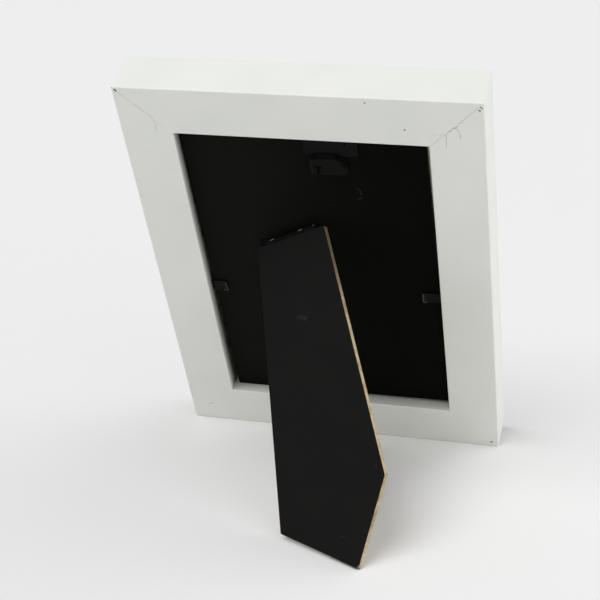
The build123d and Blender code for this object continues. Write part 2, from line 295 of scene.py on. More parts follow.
OPENED_MITRES = [
    ((-71.9, 196.8), (-69.6, 194.5), 0.02, 0.14),
    ((-69.6, 194.5), (-65.6, 190.4), 0.0, 0.1),
    ((-65.6, 190.4), (-62.5, 187.3), 0.03, 0.2),
    ((-62.5, 187.3), (-59.2, 184.2), 0.01, 0.14),
    ((-59.2, 184.2), (-58.5, 181.0), 0.01, 0.12),
    ((-58.5, 181.0), (-59.2, 177.6), 0.01, 0.14),
    ((72.0, 196.8), (64.6, 189.2), 0.0, 0.14),
    ((65.6, 190.2), (64.0, 188.6), 0.04, 0.12),
    ((63.5, 187.6), (62.2, 186.0), 0.08, 0.2),
    ((62.0, 186.6), (58.4, 182.8), 0.04, 0.15),
    ((61.2, 185.6), (60.2, 184.6), 0.1, 0.15),
    ((58.9, 183.0), (53.4, 182.7), 0.0, 0.13),
    ((58.9, 183.0), (58.8, 176.6), 0.0, 0.15),
    ((63.0, 186.8), (64.2, 184.0), 0.0, 0.14),
    ((64.4, 183.4), (64.3, 181.8), 0.04, 0.14),
    ((57.6, 182.2), (52.6, 177.2), 0.0, 0.08),
    ((-65.6, 10.0), (-63.2, 11.2), 0.0, 0.3),
]
PITS = [
    ((-72.6, 197.4), (-72.1, 196.9), 0.26),
    ((-74.0, 198.6), (-73.8, 198.2), 0.12),
    ((70.3, 3.0), (71.0, 3.3), 0.26),
    ((28.4, 196.4), (28.6, 196.4), 0.14),
    ((43.0, 184.4), (43.2, 184.4), 0.16),
    ((71.9, 195.3), (72.3, 195.2), 0.16),
    ((72.6, 197.0), (73.2, 196.2), 0.06),
    ((-51.1, 88.4), (-51.0, 90.0), 0.3),
]
PIT_SOFT = 0.22
CRACK_SHARE = 0.62
SHAKE = 0.5
# Depth down the rebate's wall at which the painted shade is full
SHADE_FULL_DEPTH = -5.0


def satin_white_paint(name, grain_stretch):
    """Sprayed satin white on planed softwood: soft sheen, orange peel, grain just telegraphing
    through, hairline cracks at the mitres and dark pits where the filler fell out. Down the
    rebate's walls the white is darkened towards the board to a grey-brown, as painted shade."""
    material, tree, shader = new_material(name)
    local = place_coordinates(tree, BACK)
    mottle = noise(tree, local, 0.04, 4.0).outputs["Fac"]
    colour = blend(tree, mottle, "#E2E4DE", "#EDEEEA")
    fine = noise(tree, local, 0.8, 3.0)
    shaken = add(
        tree,
        "ShaderNodeVectorMath",
        links={0: fine.outputs["Color"], 2: local},
        operation="MULTIPLY_ADD",
    )
    shaken.inputs[1].default_value = (SHAKE, SHAKE, 0)
    flat = vector_math(tree, "SUBTRACT", shaken.outputs[0], (SHAKE / 2, SHAKE / 2, 0)).outputs[0]
    broken = ramp(tree, mottle, 0.35, 0.6, 0.45, 1.0)
    cracks = times(tree, marks(tree, flat, OPENED_MITRES), broken)
    pits = marks(tree, flat, [(*pit, PIT_SOFT) for pit in PITS])
    colour = blend(tree, times(tree, cracks, CRACK_SHARE), colour, "#77756C")
    colour = blend(tree, pits, colour, "#23211E")
    # Painted shade: a share kept on each point darkens the rebate's walls towards the board, grey-brown
    rebate_shade = add(tree, "ShaderNodeAttribute", attribute_name="painted_rebate_shade").outputs["Fac"]
    patchy = ramp(tree, fine.outputs["Fac"], 0.0, 1.0, 0.7, 1.2)
    colour = blend(tree, times(tree, rebate_shade, patchy), colour, "#2F2B23")
    tree.links.new(colour, shader.inputs["Base Color"])
    grain_place = vector_math(tree, "MULTIPLY", local, grain_stretch).outputs[0]
    grain = noise(tree, grain_place, 1.0, 4.0).outputs["Fac"]
    peel = noise(tree, local, 1.4, 1.0).outputs["Fac"]
    normal = bump(tree, grain, 0.025, Strength=0.6)
    normal = bump(tree, peel, 0.03, normal, Strength=0.6)
    normal = bump(tree, most(tree, [cracks, pits]), 0.12, normal, invert=True)
    tree.links.new(normal, shader.inputs["Normal"])
    set_sockets(shader, Roughness=0.42, IOR=1.5, Specular_IOR_Level=0.4)
    return material


# Width and share of the painted light on the paper
LIGHT_WIDTH = 4.0
LIGHT_SHARE = 0.7
LINT_WIDTH = 0.05
WEAR_WIDTH = 0.1
WEAR_SOFT = 0.9


def black_paper(name, place, colours, painted_light, dust, wear):
    """Matt black kraft paper glued to hardboard: nearly no light comes back. It has a faint
    fibre, painted light that lightens one side, pale lint, and board showing at its worn corners."""
    material, tree, shader = new_material(name)
    local = place_coordinates(tree, place)
    flat = on_face(tree, local)
    tint = blend(tree, noise(tree, local, 0.06, 5.0).outputs["Fac"], *colours)
    patchy = noise(tree, local, 1.2, 4.0).outputs["Fac"]
    # Painted light: broad lighter strokes where the light reaches the paper
    for start, end, soft in painted_light:
        film = stroke(tree, flat, start, end, LIGHT_WIDTH, soft)
        tint = blend(tree, times(tree, film, LIGHT_SHARE), tint, "#171715")
    lint = marks(tree, flat, [(a, b, LINT_WIDTH, soft) for a, b, soft in dust])
    tint = blend(tree, times(tree, lint, patchy), tint, "#30302F")
    if wear:
        worn = marks(tree, flat, [(a, b, WEAR_WIDTH, WEAR_SOFT) for a, b in wear])
        tint = blend(tree, times(tree, worn, patchy), tint, "#8E887A")
    tree.links.new(tint, shader.inputs["Base Color"])
    fibre = noise(tree, local, 2.2, 6.0).outputs["Fac"]
    tree.links.new(bump(tree, fibre, 0.04), shader.inputs["Normal"])
    set_sockets(shader, Roughness=0.62, Specular_IOR_Level=0.03)
    return material


SCREEN_PITCH = 1.3
# Share of the darker strokes, some of them painted shade
DARKENING_SHARE = 0.85


def raw_hardboard(name, place, colours, darkened):
    """Bare hardboard: brown wood fibre pressed in thin layers, with the print of the wire
    screen that it was pressed on across its smooth brown face, and darker strokes: darker
    towards the hinge, and painted contact shade along the edge where it stands."""
    material, tree, shader = new_material(name)
    local = place_coordinates(tree, place)
    flat = on_face(tree, local)
    spread = vector_math(tree, "MULTIPLY", local, (0.7, 0.7, 2.2)).outputs[0]
    layers = noise(tree, spread, 1.0, 6.0).outputs["Fac"]
    fibre = noise(tree, local, 1.8, 6.0).outputs["Fac"]
    patches = noise(tree, local, 0.22).outputs["Fac"]
    tint = blend(tree, ramp(tree, layers, 0.25, 0.75), colours[0], colours[1])
    tint = blend(tree, times(tree, fibre, 0.5), tint, colours[2])
    tint = blend(tree, times(tree, ramp(tree, patches, 0.48, 0.66), 0.7), tint, colours[0])
    # Darker strokes, some of them painted shade
    for start, end, width, soft, dark_tint in darkened:
        darker_stroke = stroke(tree, flat, start, end, width, soft)
        tint = blend(tree, times(tree, darker_stroke, DARKENING_SHARE), tint, dark_tint)
    tree.links.new(tint, shader.inputs["Base Color"])
    waves = [
        add(
            tree,
            "ShaderNodeTexWave",
            links={"Vector": local},
            bands_direction=axis,
            wave_profile="SIN",
            Scale=np.pi / 10 / SCREEN_PITCH,
            Distortion=0.6,
            Detail=1.0,
        ).outputs["Fac"]
        for axis in ("X", "Y")
    ]
    normal = bump(tree, times(tree, *waves), 0.1, Strength=0.5)
    normal = bump(tree, fibre, 0.12, normal)
    tree.links.new(normal, shader.inputs["Normal"])
    set_sockets(shader, Roughness=0.8, Specular_IOR_Level=0.2)
    return material


# Width and softness of the painted glints
GLINT_WIDTH = 0.05
GLINT_SOFT = 0.4
# Width and softness of the painted shade
CREASE_WIDTH = 0.7
CREASE_SOFT = 0.5


def black_lacquered_steel(name, place, colours, painted_glints, shine, creases):
    """Stamped steel in thin black lacquer: almost no colour and a low gloss. Painted glints,
    white and partly metallic, lie on listed strokes, and painted shade keeps listed places near-black."""
    material, tree, shader = new_material(name)
    local = place_coordinates(tree, place)
    flat = on_face(tree, local)
    skin = noise(tree, local, 1.5, 3.0).outputs["Fac"]
    tree.links.new(ramp(tree, skin, 0.0, 1.0, 0.3, 0.46), shader.inputs["Roughness"])
    colour = blend(tree, skin, *colours)
    # Painted glints: white, partly metallic strokes
    if painted_glints:
        through = marks(tree, flat, [(a, b, GLINT_WIDTH, GLINT_SOFT) for a, b in painted_glints])
        through = times(tree, times(tree, through, skin), shine)
        colour = blend(tree, through, colour, "#F2F2F0")
        tree.links.new(through, shader.inputs["Metallic"])
    # Painted shade: near-black strokes
    if creases:
        crease = marks(tree, flat, [(a, b, CREASE_WIDTH, CREASE_SOFT) for a, b in creases])
        colour = blend(tree, crease, colour, "#010101")
    tree.links.new(colour, shader.inputs["Base Color"])
    set_sockets(shader, Specular_IOR_Level=0.04)
    return material


def clear_glass():
    """Float glass of a picture frame: clear, a trace of green, with wiped finger grease that
    only shows as a softer glint."""
    material, tree, shader = new_material("clear_float_glass")
    local = place_coordinates(tree, BACK)
    grease = noise(tree, local, 0.05, 3.0).outputs["Fac"]
    tree.links.new(ramp(tree, grease, 0.5, 0.8, 0.02, 0.09), shader.inputs["Roughness"])
    set_sockets(shader, Base_Color=linear("#FCFEFD"), IOR=1.5, Transmission_Weight=1.0)
    return material


def blank_photo_paper():
    """Blank photo paper behind the glass, warm white."""
    material, tree, shader = new_material("blank_photo_paper")
    local = place_coordinates(tree, BACK)
    fibre = noise(tree, local, 0.8, 4.0).outputs["Fac"]
    tint = blend(tree, fibre, "#E6E3DA", "#EFECE4")
    tree.links.new(tint, shader.inputs["Base Color"])
    set_sockets(shader, Roughness=0.6)
    return material


def bare_nail_steel():
    """Plain nail steel, dull."""
    material, tree, shader = new_material("bare_nail_steel")
    local = place_coordinates(tree, BACK)
    skin = noise(tree, local, 2.0).outputs["Fac"]
    tree.links.new(ramp(tree, skin, 0.0, 1.0, 0.35, 0.6), shader.inputs["Roughness"])
    set_sockets(shader, Base_Color=linear("#A9A9A6"), Metallic=1.0)
    return material


def dress(nodes, material):
    """Gives CAD nodes a finish."""
    for name in nodes:
        slots = frame["nodes"][name].data.materials
        slots.clear()
        slots.append(material)


# Surfaces

SHARP_ANGLE = np.radians(40.0)
QUARTER_TURN = np.linspace(0, np.pi / 2, 4)
ARC_STEPS = 6


def build(name, points, faces, material):
    """A mesh object from points in metres and faces as rows of indices, facing outwards.

    The sign of the volume between the faces and the origin says whether they are inside out.
    """
    rows = [list(map(int, face)) for face in faces]
    points = np.asarray(points, float).reshape(-1, 3)
    fans = np.array([(f[0], f[i], f[i + 1]) for f in rows for i in range(1, len(f) - 1)])
    a, b, c = (points[fans[:, i]] - points.mean(0) for i in range(3))
    if np.einsum("ij,ij->i", a, np.cross(b, c)).sum() < 0:
        rows = [row[::-1] for row in rows]
    mesh = bpy.data.meshes.new(name)
    mesh.from_pydata(points.tolist(), [], rows)
    mesh.materials.append(material)
    mesh.shade_smooth()
    mesh.set_sharp_from_angle(angle=SHARP_ANGLE)
    piece = bpy.data.objects.new(name, mesh)
    bpy.context.scene.collection.objects.link(piece)
    return piece


def flat_between_rounds(piece):
    """Shades flat faces flat up to their rounded edges: each point's normal is the mean of its
    faces' normals weighted by their areas."""
    shading = piece.modifiers.new("flat_between_rounds", "WEIGHTED_NORMAL")
    shading.mode = "FACE_AREA"
    shading.keep_sharp = True
    return piece


def stand_in(piece, body, slot, *nodes):
    """The piece moves with its body and is shown in place of the CAD nodes."""
    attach(piece, body)
    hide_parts(*nodes)


def rounded(corners, radii):
    """A closed outline whose corners are arcs: each arc's centre lies on the bisector of its
    corner at the radius over the sine of half the angle."""
    corners = np.asarray(corners, float)
    outline = []
    for index, (corner, radius) in enumerate(zip(corners, radii)):
        before = corners[index - 1] - corner
        after = corners[(index + 1) % len(corners)] - corner
        before /= np.hypot(*before)
        after /= np.hypot(*after)
        half = np.arccos(np.clip(before @ after, -1, 1)) / 2
        if radius == 0:
            outline.append(corner[None])
            continue
        middle = (before + after) / np.hypot(*(before + after))
        centre = corner + middle * radius / np.sin(half)
        start = corner + before * radius / np.tan(half) - centre
        end = corner + after * radius / np.tan(half) - centre
        turn = np.linspace(0, 1, ARC_STEPS + 1)[:, None]
        chord = start * (1 - turn) + end * turn
        outline.append(centre + radius * chord / np.hypot(chord[:, 0], chord[:, 1])[:, None])
    return np.concatenate(outline)


def picture_outline(corner_round):
    """A rectangle of the picture's size about the origin, with round corners."""
    half = np.array([PICTURE_WIDTH, PICTURE_HEIGHT]) / 2
    corners = [half * side for side in ((-1, -1), (1, -1), (1, 1), (-1, 1))]
    return rounded(corners, (corner_round,) * 4)


def inset(outline, amount):
    """The outline moved inwards: each point goes along the mean normal of its two sides,
    further where they meet at an angle."""
    ahead = np.roll(outline, -1, 0) - outline
    ahead /= np.hypot(ahead[:, 0], ahead[:, 1])[:, None]
    behind = np.roll(ahead, 1, 0)
    normal = np.stack([-(ahead + behind)[:, 1], (ahead + behind)[:, 0]], 1)
    after = np.roll(outline, -1, 0)
    area = np.sum(outline[:, 0] * after[:, 1] - outline[:, 1] * after[:, 0])
    lean = normal / np.einsum("ij,ij->i", normal, normal)[:, None] * 2
    return outline + np.sign(area) * amount * lean


def ring_faces(rings, count):
    """Quads between rings of so many points, with the first and the last ring closed by a face."""
    row, column = np.meshgrid(np.arange(rings - 1), np.arange(count), indexing="ij")
    ahead = (column + 1) % count
    here = row * count
    there = here + count
    quads = np.stack([here + column, here + ahead, there + ahead, there + column], -1)
    caps = [np.arange(count)[::-1], np.arange(count) + (rings - 1) * count]
    return list(quads.reshape(-1, 4)) + caps


def soft_slab(name, place, outline, low, high, low_round, high_round, material):
    """A flat board: its outline between two levels, drawn in at both faces by a quarter turn."""
    sin, cos = np.sin(QUARTER_TURN), np.cos(QUARTER_TURN)
    draws = np.concatenate([low_round * (1 - sin), high_round * (1 - cos)])
    levels = np.concatenate([low + low_round * (1 - cos), high - high_round * (1 - sin)])
    rings = [
        np.column_stack([inset(outline, draw), np.full(len(outline), level)])
        for draw, level in zip(draws, levels)
    ]
    points = in_room(place, np.concatenate(rings))
    faces = ring_faces(len(rings), len(outline))
    return flat_between_rounds(build(name, points, faces, material))


# The rails: one section carried along each, cut square to the mitres and softened there

MITRE_SOFT = 0.05
SIGHT_ROUND = 0.3
LIP_ROUND = 0.2
GRAIN_ALONG = 0.05
GRAIN_ACROSS = 0.9
AT_WALL = 0.1


def rail_section():
    """The rail in section, as inward and outward distances from its outer back edge."""
    corners = [
        (0, 0),
        (0, -FRAME_DEPTH),
        (RAIL_WIDTH + LIP_REACH - SIGHT_BEVEL, -FRAME_DEPTH),
        (RAIL_WIDTH + LIP_REACH, SIGHT_BEVEL - FRAME_DEPTH),
        (RAIL_WIDTH + LIP_REACH, -REBATE_DEPTH),
        (RAIL_WIDTH, -REBATE_DEPTH),
        (RAIL_WIDTH, SHADE_FULL_DEPTH),
        (RAIL_WIDTH, 0),
    ]
    sight = (SIGHT_ROUND, SIGHT_ROUND, LIP_ROUND)
    return rounded(corners, (EDGE_ROUND, EDGE_ROUND, *sight, 0, 0, EDGE_ROUND))


def rail(name, start, run, length, shade_share, material):
    """A rail from its corner start: at each station the section stands back from the mitre
    by its own inward distance, and is drawn in on a quarter turn at the two ends. The share of
    painted shade grows evenly from the back edge down the rebate's wall."""
    section = rail_section()
    outward = np.array([0.0, 0.0, 1.0])
    inward = np.cross(outward, run)
    rings = []
    for far in (False, True):
        for turn in QUARTER_TURN[::-1] if far else QUARTER_TURN:
            shape = inset(section, MITRE_SOFT * (1 - np.sin(turn)))
            along = shape[:, :1] + MITRE_SOFT * (1 - np.cos(turn))
            along = length - along if far else along
            rings.append(start + along * run + shape[:, :1] * inward + shape[:, 1:] * outward)
    piece = build(
        "painted_" + name,
        in_room(BACK, np.concatenate(rings)),
        ring_faces(len(rings), len(section)),
        material,
    )
    inwards, depth = np.tile(section, (len(rings), 1)).T
    deep = np.clip((-EDGE_ROUND - depth) / (-EDGE_ROUND - SHADE_FULL_DEPTH), 0, 1)
    in_rebate = (inwards > RAIL_WIDTH - AT_WALL) & (depth > -REBATE_DEPTH - AT_WALL)
    # Painted shade down the rebate's wall, as a share kept on each point
    rebate_shade = piece.data.attributes.new("painted_rebate_shade", "FLOAT", "POINT")
    rebate_shade.data.foreach_set("value", np.where(in_rebate, shade_share * deep, 0.0))
    return flat_between_rounds(piece)


def rails():
    """The four rails, each from the corner on its left as it is seen with the picture below,
    with the share of painted shade that darkens the foot of its wall."""
    across = np.array([1.0, 0, 0])
    up = np.array([0, 1.0, 0])
    left = -OUTER_WIDTH / 2 * across
    level_grain = (GRAIN_ALONG, GRAIN_ACROSS, GRAIN_ACROSS)
    upright_grain = (GRAIN_ACROSS, GRAIN_ALONG, GRAIN_ACROSS)
    flat = satin_white_paint("paint_on_level_rails", level_grain)
    tall = satin_white_paint("paint_on_upright_rails", upright_grain)
    runs = [
        ("bottom_rail", left, across, OUTER_WIDTH, 0.45, flat),
        ("right_rail", -left, up, OUTER_HEIGHT, 0.9, tall),
        ("top_rail", -left + up * OUTER_HEIGHT, -across, OUTER_WIDTH, 0.9, flat),
        ("left_rail", left + up * OUTER_HEIGHT, -up, OUTER_HEIGHT, 1.0, tall),
    ]
    for name, *sizes in runs:
        stand_in(rail(name, *sizes), "frame", "white_paint", name)


# The board and the leg with their papers

BOARD_CORNERS_ROUND = 0.4
LEG_CORNERS_ROUND = 0.8
LEG_TOP = 34.4
LEG_SHIFT = 2.4
LEG_SETBACK = 1.75
FOOT = np.array([9.7, -141.5])
FOOT_TURN = np.radians(29.6)
FLOOR_EDGE = 40.0
SIDE_EDGE = 39.0
SAWN_EDGE = 0.25
SAWN_GLUED_EDGE = 0.02
PAPER_EDGE = 0.15
PAPER_GLUED_EDGE = 0.01


def boards():
    """The back board, the leg and the black paper glued on the outer face of each."""
    board = picture_outline(BOARD_CORNERS_ROUND)
    leg_corners = [
        (LEG_SHIFT - LEG_TOP / 2, -LEG_SETBACK),
        FOOT + FLOOR_EDGE * np.array([-np.cos(FOOT_TURN), np.sin(FOOT_TURN)]),
        FOOT,
        FOOT + SIDE_EDGE * np.array([np.sin(FOOT_TURN), np.cos(FOOT_TURN)]),
        (LEG_SHIFT + LEG_TOP / 2, -LEG_SETBACK),
    ]
    leg = rounded(leg_corners, (LEG_CORNERS_ROUND,) * 5)
    skin = BOARD_THICK + PAPER_THICK
    leg_face = LEAF_FACE + BOARD_THICK
    leg_top = leg_face + PAPER_THICK
    wood_edges = (SAWN_EDGE, SAWN_GLUED_EDGE)
    paper_edges = (PAPER_GLUED_EDGE, PAPER_EDGE)
    board_tints = ("#050504", "#090908")
    leg_tints = ("#161616", "#1B1B1A")
    board_skin = black_paper("black_board_paper", BOARD, board_tints, BOARD_PAINTED_LIGHT, BOARD_DUST, [])
    leg_skin = black_paper("black_leg_paper", LEG, leg_tints, [], LEG_DUST, LEG_WEAR)
    # Painted shade: the board's browns are darker and greyer than the leg's, for its edge deep in the rebate
    board_browns_in_painted_shade = ("#4E4538", "#7E745F", "#5F5646")
    leg_browns = ("#8C7654", "#E2D2AE", "#BBA884")
    raw_board = raw_hardboard("raw_board_hardboard", BOARD, board_browns_in_painted_shade, [])
    raw_leg = raw_hardboard("raw_leg_hardboard", LEG, leg_browns, LEG_DARKENING)
    stand_in(
        soft_slab(
            "pressed_back_board", BOARD, board, -skin, -PAPER_THICK, *wood_edges, raw_board
        ),
        "frame", "hardboard", "back_board",
    )
    stand_in(
        soft_slab("board_black_paper", BOARD, board, -PAPER_THICK, 0, *paper_edges, board_skin),
        "frame", "black_paper", "board_paper",
    )
    stand_in(
        soft_slab("pressed_leg_board", LEG, leg, LEAF_FACE, leg_face, *wood_edges, raw_leg),
        "leg", "hardboard", "easel_leg",
    )
    stand_in(
        soft_slab("leg_black_paper", LEG, leg, leg_face, leg_top, *paper_edges, leg_skin),
        "leg", "black_paper", "leg_paper",
    )


# The glass and the print, a film of air apart so that no two faces share a plane

GLASS_THICK = 2.0
PRINT_THICK = 0.3
AIR_FILM = 0.04
SHEET_CORNERS_ROUND = 0.3
GROUND_EDGE = 0.2
CUT_EDGE = 0.01


def picture():
    """The glass with its edges ground, and the blank print between it and the board."""
    middle = RAIL_WIDTH + SEAT_PLAY + PICTURE_HEIGHT / 2
    place = (in_room(BACK, (0, middle, -REBATE_DEPTH)), BACK[1])
    sheet = picture_outline(SHEET_CORNERS_ROUND)
    glass = soft_slab(
        "float_glass_sheet", place, sheet, AIR_FILM, GLASS_THICK, GROUND_EDGE, GROUND_EDGE,
        clear_glass(),
    )
    stand_in(glass, "frame", "clear_glass", "glass_pane")
    print_face = GLASS_THICK + AIR_FILM
    print_back = GLASS_THICK + PRINT_THICK
    paper = soft_slab(
        "blank_photo_sheet", place, sheet, print_face, print_back, CUT_EDGE, CUT_EDGE,
        blank_photo_paper(),
    )
    stand_in(paper, "frame", "blank_print", "print_insert")


# Sheet metal

SHEET_EDGE = 0.05
SHEET_EDGE_ANGLE = np.radians(50)


def breaks(*stops, step):
    """Stations that hold every stop, with even steps no longer than asked between them."""
    stops = sorted(set(stops))
    parts = [
        np.linspace(a, b, max(1, int(np.ceil((b - a) / step))) + 1)[:-1]
        for a, b in zip(stops, stops[1:])
    ]
    return np.concatenate(parts + [np.array(stops[-1:])])


def thick_sheet(name, place, middle, thickness, kept, material, soft):
    """A sheet of even thickness from its middle surface on a grid, with cells left out.

    Both faces lie half the thickness along the surface's normal, which is the cross product
    of the two slopes, and walls close every edge between a kept and a missing cell. A soft
    sheet has its cut edges rounded.
    """
    slope_rows = np.gradient(middle, axis=0)
    slope_columns = np.gradient(middle, axis=1)
    normal = np.cross(slope_rows, slope_columns)
    normal /= np.linalg.norm(normal, axis=2, keepdims=True)
    rows, columns = middle.shape[:2]
    points = np.concatenate([
        (middle + normal * thickness / 2).reshape(-1, 3),
        (middle - normal * thickness / 2).reshape(-1, 3),
    ])
    index = np.arange(rows * columns).reshape(rows, columns)
    under = rows * columns
    a, b = index[:-1, :-1][kept], index[:-1, 1:][kept]
    c, d = index[1:, 1:][kept], index[1:, :-1][kept]
    faces = [np.stack([a, d, c, b], 1), np.stack([a, b, c, d], 1) + under]
    padded = np.pad(kept, 1)
    before, after = padded[:-1, 1:-1], padded[1:, 1:-1]
    for edge_cells, flip in ((before & ~after, False), (~before & after, True)):
        row, column = np.nonzero(edge_cells)
        p, q = index[row, column], index[row, column + 1]
        wall = np.stack([p, p + under, q + under, q], 1)
        faces.append(wall[:, ::-1] if flip else wall)
    before, after = padded[1:-1, :-1], padded[1:-1, 1:]
    for edge_cells, flip in ((before & ~after, True), (~before & after, False)):
        row, column = np.nonzero(edge_cells)
        p, q = index[row, column], index[row + 1, column]
        wall = np.stack([p, p + under, q + under, q], 1)
        faces.append(wall[:, ::-1] if flip else wall)
    faces = np.concatenate(faces)
    used, faces = np.unique(faces, return_inverse=True)
    sheet = build(name, in_room(place, points[used]), faces.reshape(-1, 4), material)
    if soft:
        edges = sheet.modifiers.new("soft_edges", "BEVEL")
        edges.width = SHEET_EDGE * MM
        edges.segments = 2
        edges.limit_method = "ANGLE"
        edges.angle_limit = SHEET_EDGE_ANGLE
    return sheet


# The hinge's two leaves and its pin

BARREL = KNUCKLES * KNUCKLE_LENGTH
ROLL_MIDDLE = (ROLL_INNER + ROLL_OUTER) / 2
PLATE_LEVEL = LEAF_FACE - HINGE_SHEET / 2
ROLL_SWEEP = np.radians(300)
NECK_SPARE = 0.35
NECK = ROLL_OUTER + NECK_SPARE
PRONG_WINDOW = 2.6
PRONG_WINDOW_LENGTH = 4.85
HEEL_REACH = 2.2
KNUCKLE_CROWN = 0.05
COLUMN_STEP = 0.5
ROW_STEP = 0.6
NECK_STEPS = 8
ROLL_STEPS = 48
DRAWN_IN = LEAF_ROUND + 1.0
TINY = 1e-6


def leaf(name, place, width, knuckles, heels, material):
    """A hinge leaf from one sheet: flat plate, then knuckles rolled round the pin.

    Along the sheet the middle runs straight at the plate's level, drops to the roll's level
    by half a cosine over the neck, and then follows a circle round the pin. Each knuckle's
    circle is a little larger in its middle. Heels run straight on past the pin.
    """
    starts = [-BARREL / 2 + KNUCKLE_LENGTH * n for n in range(KNUCKLES)]
    solid = KNUCKLE_LENGTH - KNUCKLE_GAP
    gaps = [start + KNUCKLE_GAP / 2 + part for start in starts for part in (0, solid)]
    windows = [
        side * PRONG_ACROSS + part * PRONG_WINDOW / 2 for side in (-1, 1) for part in (-1, 1)
    ]
    half_width = width / 2
    sides = [-half_width, half_width]
    if heels:
        sides += [HEEL_WIDTH - half_width, half_width - HEEL_WIDTH]
    x = breaks(*gaps, *windows, *sides, step=COLUMN_STEP)
    plate = breaks(
        -LEAF_LENGTH,
        LEAF_ROUND - LEAF_LENGTH,
        *[-row for row in PRONG_ROWS],
        *[-row - PRONG_WINDOW_LENGTH for row in PRONG_ROWS],
        -NECK,
        step=ROW_STEP,
    )
    neck = np.linspace(-NECK, 0, NECK_STEPS + 1)[1:]
    sweep = np.linspace(0, ROLL_SWEEP, ROLL_STEPS + 1)[1:]
    drop = (1 + np.cos(np.pi * (neck + NECK) / NECK)) / 2
    y = np.concatenate([plate, neck, np.sin(sweep) * ROLL_MIDDLE])
    level = ROLL_MIDDLE + (PLATE_LEVEL - ROLL_MIDDLE) * drop
    z = np.concatenate([np.full(len(plate), PLATE_LEVEL), level, np.cos(sweep) * ROLL_MIDDLE])
    length_along = np.concatenate([plate, neck, sweep * ROLL_MIDDLE])
    grid_x = np.tile(x, (len(y), 1))
    grid_y = np.tile(y[:, None], (1, len(x)))
    grid_z = np.tile(z[:, None], (1, len(x)))
    part_of_knuckle = ((x + BARREL / 2) / KNUCKLE_LENGTH) % 1.0
    crown = 1 + KNUCKLE_CROWN * (1 - (2 * part_of_knuckle - 1) ** 2)
    on_roll = np.arange(len(y)) >= len(plate) + len(neck)
    grid_y[on_roll] *= crown
    grid_z[on_roll] *= crown
    heel = heels & (np.abs(x) > half_width - HEEL_WIDTH - TINY)
    grid_y[:, heel] = length_along[:, None]
    grid_z[:, heel] = PLATE_LEVEL
    corner = np.clip(LEAF_ROUND - LEAF_LENGTH - plate, 0, LEAF_ROUND)
    narrow = LEAF_ROUND - np.sqrt(LEAF_ROUND ** 2 - corner ** 2)
    near = np.clip((np.abs(x) - half_width) / DRAWN_IN + 1, 0, 1)
    grid_x[: len(plate)] -= np.sign(x) * near * narrow[:, None]
    mid_x = (x[:-1] + x[1:]) / 2
    mid_along = (length_along[:-1] + length_along[1:]) / 2
    number = np.floor((mid_x + BARREL / 2) / KNUCKLE_LENGTH)
    from_middle = np.abs((mid_x + BARREL / 2) % KNUCKLE_LENGTH - KNUCKLE_LENGTH / 2)
    inside = from_middle < solid / 2
    knuckle = np.isin(number, list(knuckles)) & inside & (np.abs(mid_x) < BARREL / 2)
    heel_cells = heels & (np.abs(mid_x) > half_width - HEEL_WIDTH)
    in_plate = mid_along < -NECK
    heel_part = heel_cells[None] & (mid_along < HEEL_REACH)[:, None]
    kept = in_plate[:, None] | knuckle[None] | heel_part
    kept &= (np.abs(mid_x) < half_width)[None]
    for row in PRONG_ROWS:
        in_rows = (mid_along < -row) & (mid_along > -row - PRONG_WINDOW_LENGTH)
        in_columns = np.abs(np.abs(mid_x) - PRONG_ACROSS) < PRONG_WINDOW / 2
        kept &= ~(in_rows[:, None] & in_columns[None])
    middle = np.stack([grid_x, grid_y, grid_z], 2)
    return thick_sheet(name, place, middle, HINGE_SHEET, kept, material, True)


PIN_PROUD = 0.15
PIN_DOME = 0.3
PIN_SIDES = 32
PIN_DOME_STEPS = 6
PIN_END_SHARE = 0.02


def pin(material):
    """The hinge pin: a straight rod turned from its outline, with domed ends."""
    half = (BARREL - KNUCKLE_GAP) / 2 + PIN_PROUD
    turn = np.linspace(0, np.pi / 2, PIN_DOME_STEPS)
    dome = PIN_DOME * (1 - np.cos(turn))
    along = np.concatenate([dome - half, half - dome[::-1]])[:, None]
    width = np.concatenate([np.sin(turn), np.sin(turn[::-1])]).clip(PIN_END_SHARE)
    radius = PIN_RADIUS * width[:, None]
    around = np.linspace(0, 2 * np.pi, PIN_SIDES, endpoint=False)
    rings = np.stack([
        np.repeat(along, PIN_SIDES, 1),
        radius * np.cos(around),
        radius * np.sin(around),
    ], 2)
    points = in_room(LEG, rings.reshape(-1, 3))
    return build("steel_hinge_pin", points, ring_faces(len(along), PIN_SIDES), material)


# The hanger: a strip with a pocket pressed out

HANGER_SHEET = 0.5
HANGER_ASIDE = 10.1
HANGER_DOWN = 17.8
HANGER = (in_room(BOARD, (HANGER_ASIDE, PICTURE_HEIGHT / 2 - HANGER_DOWN, 0)), BOARD[1])
STRIP_LEFT = -9.0
STRIP_RIGHT = 13.2
STRIP_LOW = 8.2
STRIP_HIGH = 17.0
STRIP_ROUND = 1.5
POCKET_HALF = 8.3
POCKET_HEIGHT = 9.8
POCKET_ROUND = 5.5
POCKET_RISE = 1.8
POCKET_SLOPE = 2.0
NOTCH_MIDDLE = -3.6
NOTCH_WIDTH = 1.3
NOTCH_HEIGHT = 3.7
NOTCH_BAR = 2.8
NOTCH_BAR_WIDTH = 0.8
SLIT_MIDDLE = 8.0
SLIT_WIDTH = 0.7
SLIT_LOW = 13.9
HANGER_STEP = 0.2
SHARE_STEP = 0.025
SLACK = 0.02


